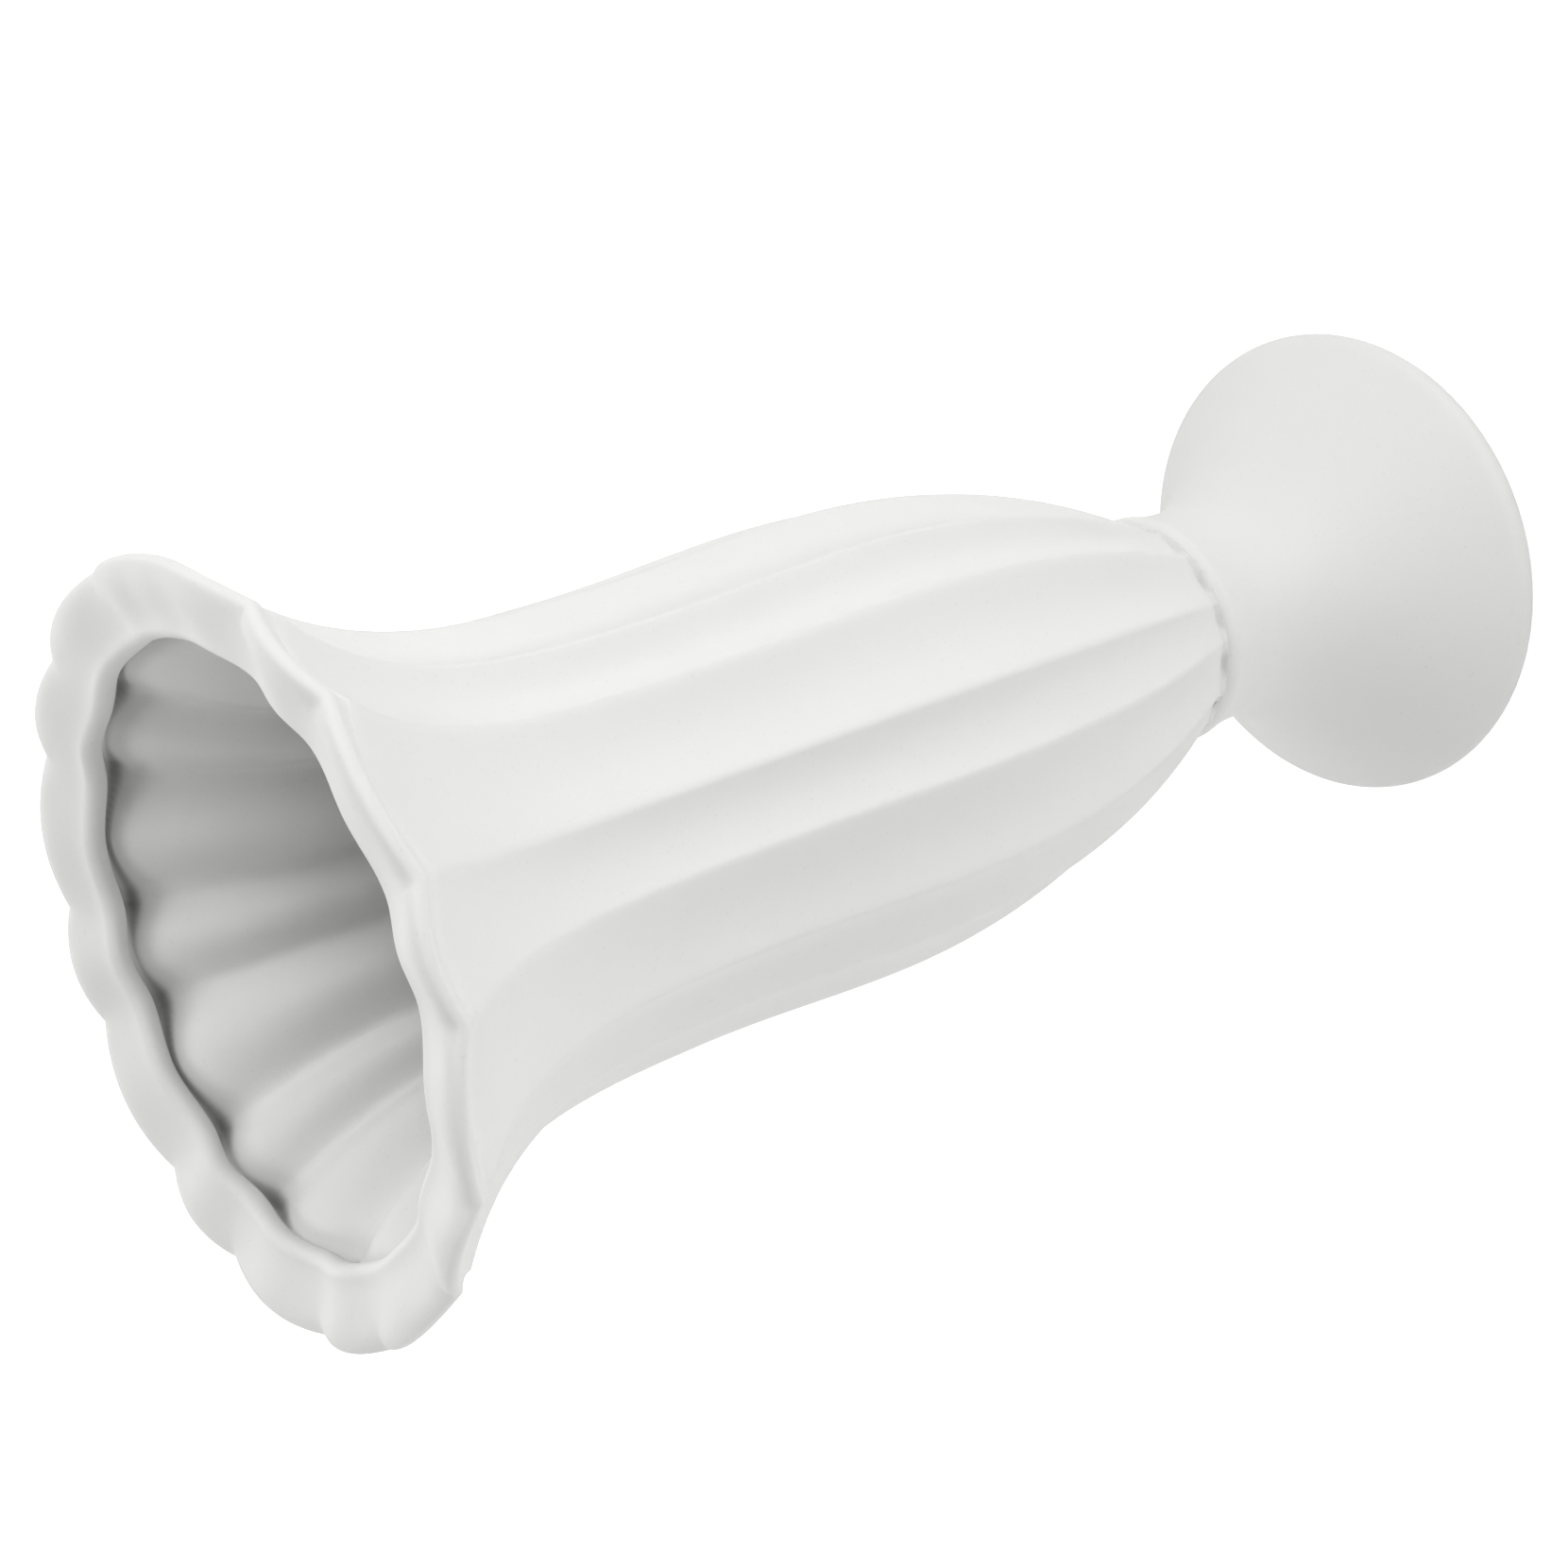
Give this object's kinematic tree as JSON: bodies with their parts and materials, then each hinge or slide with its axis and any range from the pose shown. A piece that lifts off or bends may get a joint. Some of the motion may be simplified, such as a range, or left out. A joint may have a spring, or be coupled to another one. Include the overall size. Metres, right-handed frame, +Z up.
{
  "type": "grave vase",
  "caption": "Standing fluted trumpet vase for cut flowers on a grave, with a scalloped lip, a short collared neck and a smooth hollow bell foot",
  "frame": {"origin": "on the vase's axis, in the plane that the foot stands on", "axes": "+Z runs up the vase's axis from the foot to the mouth, and +X passes through the middle of a wide flute"},
  "size_m": [0.1018, 0.1018, 0.2097],
  "materials": {
    "body_ceramic": "matte",
    "foot_ceramic": "matte",
    "slip_ceramic": "matte"
  },
  "bodies": {
    "root": {"fluted_body": "body_ceramic", "bell_foot": "foot_ceramic", "luting_slip": "slip_ceramic"}
  },
  "joints": []
}
